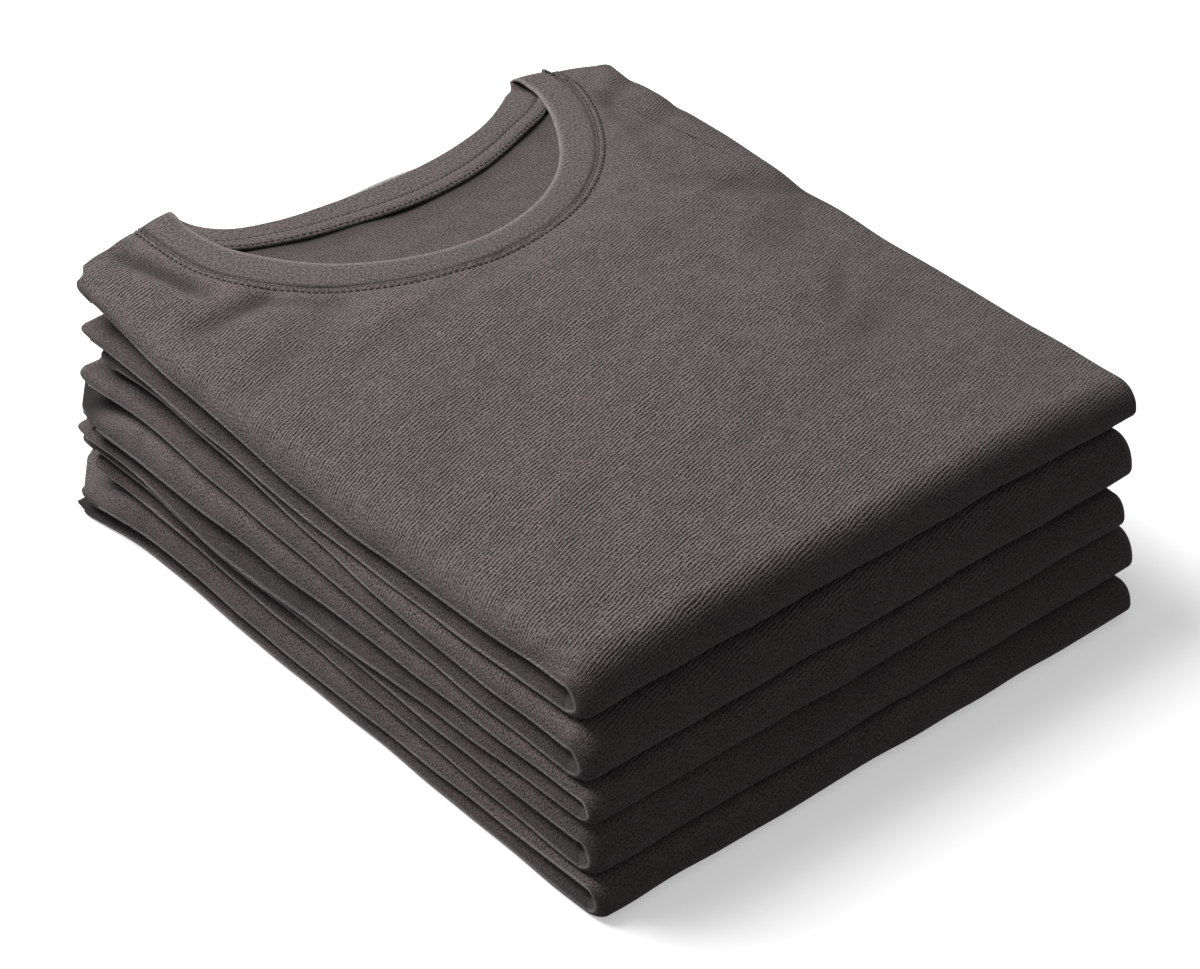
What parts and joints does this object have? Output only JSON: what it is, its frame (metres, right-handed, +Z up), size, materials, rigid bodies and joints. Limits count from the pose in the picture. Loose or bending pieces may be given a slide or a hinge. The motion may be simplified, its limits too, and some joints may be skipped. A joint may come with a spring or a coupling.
{
  "type": "stack of folded t-shirts",
  "caption": "Neat stack of dark grey crew-neck t-shirts, each folded in half with its sleeves turned in, the neck on top.",
  "frame": {"origin": "middle of the stack's base, on the surface that it lies on", "axes": "+Z up; +Y runs along the shirts' folded length, from the fold end towards the neck end; +X runs across their width, from the side with the open flaps towards the other long side"},
  "size_m": [0.3246, 0.3902, 0.1093],
  "materials": {
    "front_panel": "soft dark taupe-grey cotton jersey with a fine crepe-like knit, matt",
    "back_panel": "the same jersey seen from its inside, matt",
    "collar": "fine rib knit band of the same yarn, matt",
    "neck_tape": "self-fabric tape with stitched edges, matt",
    "sleeves": "the same jersey, folded flat",
    "hidden_layers": "the same jersey, layered at its edges"
  },
  "bodies": {
    "root": {"shirt_1_front_panel": "front_panel", "shirt_1_hidden_layers": "hidden_layers", "shirt_1_back_panel": "back_panel", "shirt_1_collar": "collar", "shirt_1_neck_tape": "neck_tape", "shirt_1_sleeve_left": "sleeves", "shirt_1_sleeve_right": "sleeves", "shirt_2_front_panel": "front_panel", "shirt_2_hidden_layers": "hidden_layers", "shirt_2_back_panel": "back_panel", "shirt_2_collar": "collar", "shirt_2_neck_tape": "neck_tape", "shirt_2_sleeve_left": "sleeves", "shirt_2_sleeve_right": "sleeves", "shirt_3_front_panel": "front_panel", "shirt_3_hidden_layers": "hidden_layers", "shirt_3_back_panel": "back_panel", "shirt_3_collar": "collar", "shirt_3_neck_tape": "neck_tape", "shirt_3_sleeve_left": "sleeves", "shirt_3_sleeve_right": "sleeves", "shirt_4_front_panel": "front_panel", "shirt_4_hidden_layers": "hidden_layers", "shirt_4_back_panel": "back_panel", "shirt_4_collar": "collar", "shirt_4_neck_tape": "neck_tape", "shirt_4_sleeve_left": "sleeves", "shirt_4_sleeve_right": "sleeves", "shirt_5_front_panel": "front_panel", "shirt_5_hidden_layers": "hidden_layers", "shirt_5_back_panel": "back_panel", "shirt_5_collar": "collar", "shirt_5_neck_tape": "neck_tape", "shirt_5_sleeve_left": "sleeves", "shirt_5_sleeve_right": "sleeves"}
  },
  "joints": []
}
